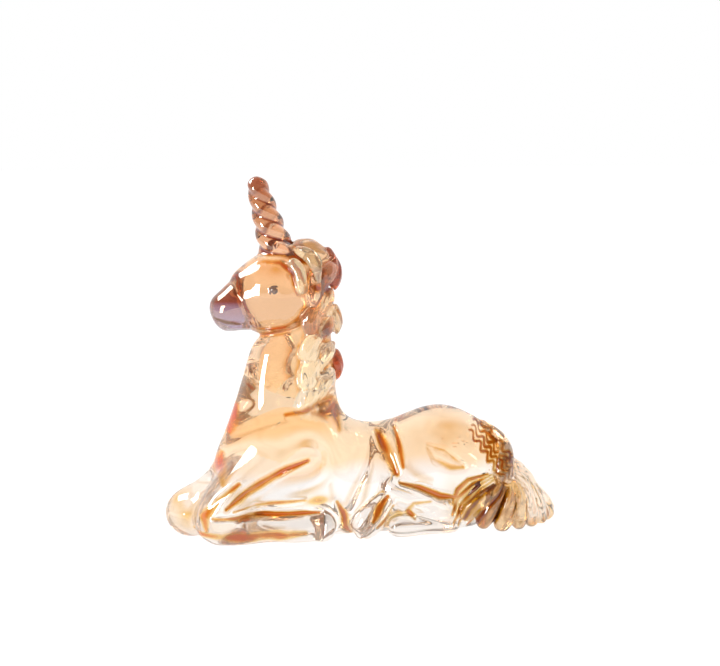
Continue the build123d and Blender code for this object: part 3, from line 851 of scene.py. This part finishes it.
@dataclass
class Figurine:
    """The whole unicorn: every piece of glass, fused in the order that a glassworker joins them."""

    groups: list[SubAssembly]
    folds: list[Fold]
    patches: list[Patch]
    crease_depth: float = 2.0
    crease_soft: float = 0.6
    crease_reach: float = 1.2
    crease_start: float = 0.25
    groove_depth: float = 1.0
    groove_reach: float = 0.9
    groove_start: float = 0.2
    melt_divisor: float = 50.0
    polish: float = 0.4
    ease: float = 1.4
    seam_depth: float = 2.5

    def gather(self) -> tuple[Field, np.ndarray, list[tuple[str, Lustre]]]:
        """Fuses all the pieces on one grid.

        Returns:
            Distance to the glass, number of the nearest piece, and the pieces' names and finishes in the
            order of their numbers.
        """
        low_mm = np.array(CAD_BOX[0]) / MM - MARGIN
        high_mm = np.array(CAD_BOX[1]) / MM + MARGIN
        low = np.floor(low_mm / VOXEL).astype(int)
        size = np.ceil(high_mm / VOXEL).astype(int) - low + 1
        glass = Field(low, np.full(size, BAND, np.float32))
        nearest = np.full(size, BAND, np.float32)
        label = np.zeros(size, np.int16)
        names = []
        for group in self.groups:
            for node in group.nodes:
                measured = group.field_of(node)
                names.append((node, group.finish))
                mine, theirs = glass.window(measured)
                own = measured.values[theirs]
                glass.values[mine] = fuse(glass.values[mine], own, group.flow.value)
                closer = own < nearest[mine]
                nearest[mine] = np.minimum(nearest[mine], own)
                label[mine] = np.where(closer, len(names), label[mine])
            if group.melt:
                swell = np.float32(group.melt ** 2 / self.melt_divisor)
                glass.values = soften(glass.values, group.melt) - swell
            LOG.info("fused %s: %d pieces", group.title, len(group.nodes))
        dents = Field(low, np.zeros(size, np.float32))
        for fold in self.folds:
            fold.press(dents)
        glass.values = soften(glass.values + dents.values, self.polish)
        # Ground flat underneath, and nothing swells beyond the frame's box: what would is eased back
        for axis, places in zip(Axis, glass.axes()):
            below = np.float32(CAD_BOX[0][axis.value] / MM) - places.astype(np.float32)
            above = places.astype(np.float32) - np.float32(CAD_BOX[1][axis.value] / MM)
            if axis is Axis.Y:
                glass.values = -fuse(-glass.values, -np.maximum(below, above), self.ease)
            else:
                glass.values = np.maximum(glass.values, np.maximum(below, above))
        label[glass.values > 0] = 0
        return glass, label, names

    def square_seams(self, glass: Field, label: np.ndarray, names: list[tuple[str, Lustre]]) -> None:
        """Lets the seams meet the surface squarely, so that no piece ends in a sliver along it.

        Args:
            glass: Distance to the glass.
            label: Number of the piece at each grid point, changed in place.
            names: The pieces' names and finishes in the order of their numbers.
        """
        finishes = [finish.name for _, finish in names]
        kind = np.array([-1] + [finishes.index(name) for name in finishes])
        near = np.argwhere((glass.values <= 0) & (glass.values > -self.seam_depth))
        points = (near + glass.low) * VOXEL
        outward = glass.slope(points)
        outward /= np.maximum(np.linalg.norm(outward, axis=1), 1e-6)[:, None]
        sink = (self.seam_depth + glass.values[tuple(near.T)])[:, None] * outward
        deep = np.rint((points - sink) / VOXEL).astype(int) - glass.low
        here, there = label[tuple(near.T)], label[tuple(deep.T)]
        alike = (there > 0) & (kind[here] == kind[there])
        label[tuple(near[alike].T)] = there[alike]

    def build(self) -> None:
        """Draws every piece, dresses it and ties it to its body."""
        glass, label, names = self.gather()
        self.square_seams(glass, label, names)
        skin = draw_skin(label, glass)
        # Film painted thicker in creases and grooves, found from the surface's bend: partly film run together
        # there, partly painted shade
        slow = Field(glass.low, soften(glass.values, self.crease_soft))
        broad = slow.bend(skin.points, self.crease_reach) * self.crease_depth - self.crease_start
        narrow = glass.bend(skin.points, self.groove_reach) * self.groove_depth - self.groove_start
        skin.pool = np.clip(np.maximum(broad, narrow), 0, 1)
        # Folds and patches thicken the film too, some of them as painted refraction and reflection
        for thick in self.folds + self.patches:
            skin.pool = np.maximum(skin.pool, thick.over(skin.points))
        seam = fused_seam()
        for number, (node, finish) in enumerate(names, start=1):
            piece = self.piece_from(skin, number, node, [finish.material(), seam])
            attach(piece, ROOT_BODY)
            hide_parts(node)
            LOG.info("%s: %d faces", piece.name, len(piece.data.polygons))

    @staticmethod
    def piece_from(skin: Skin, number: int, node: str,
                   materials: list[bpy.types.Material]) -> bpy.types.Object:
        """Makes one piece's closed mesh from its part of the skin.

        Args:
            skin: The skin of all the glass.
            number: The piece's number in it.
            node: Name of the CAD node that the piece stands for.
            materials: Its lustred glass, then the seam.

        Returns:
            The new object.
        """
        out = skin.inside == number
        back = skin.outside == number
        squares = np.concatenate([skin.squares[out], skin.squares[back][:, ::-1]])
        beyond = np.concatenate([skin.outside[out], skin.inside[back]])
        used, index = np.unique(squares, return_inverse=True)
        index = index.reshape(-1).astype(np.int32)
        mesh = bpy.data.meshes.new(f"{node}_glass")
        mesh.vertices.add(len(used))
        mesh.vertices.foreach_set("co", (skin.points[used] * MM).astype(np.float32).ravel())
        mesh.loops.add(len(index))
        mesh.loops.foreach_set("vertex_index", index)
        mesh.polygons.add(len(squares))
        mesh.polygons.foreach_set("loop_start", np.arange(0, len(index), 4, dtype=np.int32))
        mesh.polygons.foreach_set("material_index", (beyond > 0).astype(np.int32))
        mesh.polygons.foreach_set("use_smooth", np.ones(len(squares), bool))
        for material in materials:
            mesh.materials.append(material)
        mesh.update(calc_edges=True)
        mesh.validate()
        pool = mesh.attributes.new("pool", "FLOAT", "POINT")
        pool.data.foreach_set("value", skin.pool[used].astype(np.float32))
        normals = skin.normals[used][index].reshape(-1, 4, 3)
        normals[beyond > 0] = 0
        mesh.normals_split_custom_set(normals.reshape(-1, 3))
        piece = bpy.data.objects.new(f"{node}_glass", mesh)
        bpy.context.scene.collection.objects.link(piece)
        return piece


@dataclass
class Studio:
    """White table, soft lights and the camera at the photograph's angle."""

    azimuth: float = -12.0
    elevation: float = 8.0
    distance: float = 520.0
    aim: tuple[float, float, float] = (0.0, 0.0, 64.0)
    lens: float = 80.6
    sensor: float = 36.0
    floor_size: float = 6000.0
    floor_drop: float = 0.05
    floor_grey: float = 0.22
    floor_glow: float = 0.95

    def ahead(self) -> Vector:
        """Direction in which the camera looks."""
        turn, rise = math.radians(self.azimuth), math.radians(self.elevation)
        return Vector((-math.sin(turn) * math.cos(rise), math.cos(turn) * math.cos(rise), -math.sin(rise)))

    def camera(self) -> None:
        """Places the camera."""
        data = bpy.data.cameras.new("camera")
        data.lens = self.lens
        data.sensor_width = self.sensor
        data.sensor_fit = "HORIZONTAL"
        data.clip_start = 0.01
        camera = bpy.data.objects.new("camera", data)
        camera.location = (Vector(self.aim) - self.ahead() * self.distance) * MM
        camera.rotation_euler = self.ahead().to_track_quat("-Z", "Y").to_euler()
        bpy.context.scene.collection.objects.link(camera)
        bpy.context.scene.camera = camera

    def floor(self) -> None:
        """Lays the white table, which glows as a light table does and takes a faint shadow."""
        half = self.floor_size / 2 * MM
        height = -self.floor_drop * MM
        mesh = bpy.data.meshes.new("table")
        corners = [(-half, -half), (half, -half), (half, half), (-half, half)]
        mesh.from_pydata([(x, y, height) for x, y in corners], [], [(0, 1, 2, 3)])
        material = bpy.data.materials.new("white_acrylic_table")
        material.use_nodes = True
        look = {"Base Color": (self.floor_grey,) * 3 + (1,), "Roughness": 1.0, "Specular IOR Level": 0.0,
                "Emission Color": linear("#FFFFFF"), "Emission Strength": self.floor_glow}
        for name, value in look.items():
            material.node_tree.nodes["Principled BSDF"].inputs[name].default_value = value
        mesh.materials.append(material)
        table = bpy.data.objects.new("table", mesh)
        bpy.context.scene.collection.objects.link(table)

    def softbox(self, name: str, place: tuple[float, float, float], size: tuple[float, float],
                glow: float) -> None:
        """Hangs one soft box that faces the figure.

        Args:
            name: Name of the light.
            place: Its middle, in millimetres.
            size: Its width and height, in millimetres.
            glow: Its brightness, where 1 is the white of the table.
        """
        data = bpy.data.lights.new(name, "AREA")
        data.shape = "RECTANGLE"
        data.size = size[0] * MM
        data.size_y = size[1] * MM
        data.energy = glow * math.pi * data.size * data.size_y
        light = bpy.data.objects.new(name, data)
        light.location = Vector(place) * MM
        light.rotation_euler = (Vector(self.aim) - Vector(place)).to_track_quat("-Z", "Y").to_euler()
        bpy.context.scene.collection.objects.link(light)

    def surroundings(self) -> None:
        """Wraps the table in a white sweep, with the dim studio behind and above the camera."""
        world = bpy.data.worlds.new("white_sweep")
        bpy.context.scene.world = world
        world.use_nodes = True
        tree = world.node_tree
        place = add_node(tree, "ShaderNodeTexCoord")
        level = Vector((self.ahead().x, self.ahead().y, -0.25)).normalized()
        facing = add_node(tree, "ShaderNodeVectorMath", {"operation": "DOT_PRODUCT"},
                          {0: place.outputs["Generated"], 1: level})
        share = add_node(tree, "ShaderNodeMapRange", None,
                         {"Value": facing.outputs["Value"], "From Min": -1.0, "From Max": 1.0})
        sweep = add_node(tree, "ShaderNodeValToRGB", None, {"Fac": share.outputs[0]})
        ramp = sweep.color_ramp
        ramp.elements[0].position = 0.1
        ramp.elements[0].color = linear("#5C5450")
        ramp.elements[1].position = 0.72
        ramp.elements[1].color = (1, 1, 1, 1)
        ramp.elements.new(0.45).color = linear("#A89C94")
        seen = add_node(tree, "ShaderNodeLightPath")
        # Sockets 6 and 7 of a mix are its two colours
        shown = add_node(tree, "ShaderNodeMix", {"data_type": "RGBA"}, {
            "Factor": seen.outputs["Is Camera Ray"], 6: sweep.outputs["Color"], 7: (1, 1, 1, 1)})
        tree.links.new(shown.outputs[2], tree.nodes["Background"].inputs["Color"])

    def build(self) -> None:
        """Sets up the whole studio."""
        self.camera()
        self.floor()
        self.surroundings()
        self.softbox("tall_box", (-520, -330, 150), (110, 300), 30.0)
        self.softbox("top_box", (-330, 160, 450), (240, 180), 12.0)
        scene = bpy.context.scene
        scene.view_settings.view_transform = "Standard"
        scene.cycles.max_bounces = 32
        scene.cycles.transmission_bounces = 24
        scene.cycles.glossy_bounces = 8
        scene.cycles.transparent_max_bounces = 48


def wavy(start: tuple[float, float], stop: tuple[float, float], shift: float, swing: float,
         length: float) -> tuple[tuple[float, float], ...]:
    """Draws a wavy line beside a straight one.

    Args:
        start: Where the straight line starts, along X and up Z.
        stop: Where it ends.
        shift: How far to its side the wavy line runs.
        swing: How far the waves swing to each side.
        length: Length of one wave.

    Returns:
        Points of the wavy line.
    """
    run = np.subtract(stop, start)
    reach = float(np.hypot(*run))
    along = run / reach
    aside = np.array([-along[1], along[0]])
    steps = np.linspace(0, reach, 40)
    swings = shift + swing * np.sin(2 * math.pi * steps / length)
    return tuple(tuple(start + along * s + aside * w) for s, w in zip(steps, swings))


def unicorn() -> Figurine:
    """Lists the pieces in the order that the glass is joined, the folds and the thick places of the film,
    some of which are painted refraction and reflection.

    Returns:
        The figurine, not yet built.
    """
    groups = [
        SubAssembly("trunk", BODY, Fuse.TRUNK, ["torso", "neck"] + both("shoulder")),
        SubAssembly("haunches", BODY, Fuse.HAUNCH, both("haunch"), 1.1, 4.0),
        SubAssembly("head", BODY, Fuse.HEAD, ["head"]),
        SubAssembly("muzzle", MUZZLE, Fuse.MUZZLE, ["muzzle"]),
        SubAssembly("forearms", LEG, Fuse.FOREARM, both("forearm")),
        SubAssembly("forelegs", LEG, Fuse.FORELEG, both("fore_cannon", "fore_hoof"), 1.0),
        SubAssembly("hind_legs", LEG, Fuse.LEG, both("gaskin", "hind_cannon", "hind_hoof"), 0.7),
        Horn("horn", HORN, Fuse.TRIM, ["horn"]),
        SubAssembly("ears", CREAM, Fuse.TRIM, both("ear"), 0.5),
        Hair("crest", CREST, Fuse.HAIR, numbered("crest_lock")[::2]),
        Hair("fringe", CREAM, Fuse.HAIR, both("fringe_lock"), strands=5),
        Hair("mane", MANE, Fuse.HAIR, ["forelock", "crest_lock_2"] + numbered("left_mane_lock")
             + numbered("right_mane_lock")),
        Hair("dock", DOCK, Fuse.HAIR, ["tail_dock"], strands=10, groove=0.4, wave=2.2),
        Hair("plume", TAIL, Fuse.PLUME, numbered("tail_lock")[:5], strands=6, groove=0.5),
        Hair("plume_tips", TAIL_TIP, Fuse.PLUME, numbered("tail_lock")[5:], strands=5),
        SubAssembly("eyes", EYE, Fuse.BEAD, both("eye"), 0.3),
    ]
    folds = [
        # Foreleg: under the forearm, along the cannon, before the knee and behind the hoof
        Fold(((-21.2, 27.8), (-27.6, 25.2), (-34.8, 21.1), (-40.2, 17.9), (-46.5, 12.8)), 1.1, 1.2),
        Fold(((-50.5, 10.0), (-42.1, 9.5), (-29.6, 9.5), (-16.9, 10.1)), 0.7, 0.9),
        Fold(((-44.2, 11.9), (-32.5, 13.2), (-21.4, 14.3)), 0.6, 0.5, 0.6),
        Fold(((-42.4, 20.8), (-49.0, 15.4), (-53.1, 10.2), (-52.5, 6.1)), 1.1, 0.5, 0.8),
        # Film only, no groove: the orange band under the cannon is a painted reflection
        Fold(((-54.6, 4.7), (-45.3, 3.6), (-32.8, 3.2), (-21.7, 4.0)), 1.6, 0.0, 0.9),
        Fold(((-11.2, 13.1), (-8.7, 8.8), (-7.4, 3.8), (-5.1, 1.1)), 1.1, 0.8),
        # Flank, stifle, and the almond on the haunch
        Fold(((4.0, 35.1), (5.0, 30.3), (6.7, 25.3), (8.6, 20.7)), 1.6, 1.3),
        Fold(((9.9, 33.9), (10.2, 28.4), (10.6, 22.6)), 0.7, 0.5),
        Fold(((18.5, 29.5), (24.1, 27.7), (30.1, 22.5)), 0.9, 0.6, 0.15),
        Fold(((18.5, 28.6), (20.5, 25.2), (25.8, 22.7), (30.1, 22.2)), 0.9, 0.6, 0.4),
        # Hind leg: over the gaskin, on the foot and round the cannon
        Fold(((9.1, 18.2), (15.7, 16.3), (22.3, 13.3), (27.6, 12.7)), 0.9, 0.9),
        Fold(((5.2, 13.9), (2.3, 10.4), (0.1, 6.3)), 1.0, 0.7),
        Fold(((7.2, 10.8), (4.9, 6.7), (1.4, 4.3)), 0.7, 0.5, 0.6),
        Fold(((19.0, 11.9), (13.4, 11.5), (12.4, 8.9), (14.4, 5.9)), 0.7, 0.6, 0.6),
        # Where the neck joins the back, and down the chest
        Fold(((-26.8, 40.8), (-21.3, 41.6), (-17.5, 43.0), (-13.3, 43.5), (-9.1, 44.6)),
             1.1, 0.4, 0.7, 4.0, 0.0),
        Fold(((-18.0, 41.0), (-13.5, 40.0), (-10.0, 42.0), (-9.1, 34.9)), 1.9, 0.4, 0.6, 2.0, 0.0),
        # Film only, no groove: the orange strips down the front of the chest are painted refraction of the
        # film
        Fold(((-40.7, 42.7), (-42.0, 38.6), (-43.3, 34.1)), 1.4, 0.0, 0.7, -3.0, 1.0),
        Fold(((-45.6, 27.7), (-46.6, 24.2), (-47.3, 20.3)), 1.2, 0.0, 0.7, -3.0, 1.0),
        # Brow, jaw, edge of the nose, mouth
        # The brow line's brown film is a painted internal reflection of the forehead's edge; its groove is
        # real
        Fold(((-37.3, 85.4), (-32.9, 88.4), (-27.2, 88.0), (-23.8, 85.1), (-23.2, 81.0)), 0.7, 0.45, 0.8),
        Fold(((-36.1, 67.0), (-30.4, 66.8), (-25.6, 67.6), (-21.8, 70.4)), 0.8, 0.4, 0.9),
        Fold(((-48.1, 70.8), (-44.3, 69.5), (-39.6, 68.7)), 0.5, 0.4, 0.6, 1.0),
    ]
    # Wavy strands that the mould pressed into the root of the tail
    folds += [Fold(wavy((36.0, 35.0), (47.0, 18.5), shift, 0.9, 4.0), 0.5, 0.7, 1.0, 0.0)
              for shift in (-3.3, -1.4, 0.5, 2.4)]
    # Strands of the plume, swept to the left, and the ribs at its back
    strands = [
        ((38.5, 19.3), (31.4, 18.3), (28.0, 15.2), (26.4, 10.5)),
        ((40.2, 18.9), (33.0, 16.6), (28.4, 12.6), (26.2, 7.0)),
        ((41.2, 18.2), (34.6, 15.6), (29.6, 10.4), (27.2, 4.0)),
        ((41.8, 17.5), (35.9, 14.5), (31.3, 9.2), (29.0, 3.0)),
        ((42.8, 16.2), (38.5, 11.5), (35.3, 6.4), (33.3, 1.6)),
        ((44.2, 15.3), (41.9, 9.8), (39.6, 4.3), (38.3, 0.7)),
    ]
    ribs = [
        ((47.5, 14.1), (47.2, 8.1), (47.3, 0.4)),
        ((51.5, 12.4), (51.3, 6.4), (51.4, 0.0)),
        ((55.6, 10.0), (55.7, 5.0), (56.1, 0.0)),
        ((59.4, 7.7), (60.2, 3.6), (60.6, 0.0)),
    ]
    folds += [Fold(line, 0.8, 0.45, 1.0, 0.0, 0.0) for line in strands]
    folds += [Fold(line, 0.6, 0.4, 0.25, 0.0, 0.0) for line in ribs]
    patches = [
        Patch((-17.0, -17.0, 14.0), (4.0, 5.0, 1.6), 0.8),
        # Painted refraction: the orange of the film seen edge-on through the glass at the knee
        Patch((-42.5, -16.0, 16.5), (3.2, 6.0, 3.0), 0.5),
        Patch((26.0, -16.0, 34.0), (11.0, 8.0, 6.0), 0.25),
        Patch((33.0, -19.0, 10.0), (8.0, 8.0, 8.0), 0.4, 0.0),
        # Painted reflection: gold and pink film stands in for the crumpled reflections in the front of the
        # knees
        Patch((-57.0, -4.0, 10.0), (8.0, 12.0, 9.0), 0.3),
        # Painted refraction and internal reflection: a brown patch of film over the brow
        Patch((-31.0, -9.0, 86.5), (6.0, 6.0, 2.6), 0.3, 1.0),
        Patch((-19.5, -10.0, 79.7), (1.2, 6.0, 1.8), 1.0),
        Patch((-15.8, -10.0, 80.0), (1.6, 6.0, 1.5), 1.0),
        Patch((-11.8, -8.0, 79.6), (1.6, 6.0, 1.8), 1.0),
    ]
    return Figurine(groups, folds, patches)


def main() -> None:
    """Builds the figure and its studio."""
    logging.basicConfig(level=logging.INFO, format="%(name)s %(message)s")
    unicorn().build()
    Studio().build()


if __name__ == "__main__":
    main()
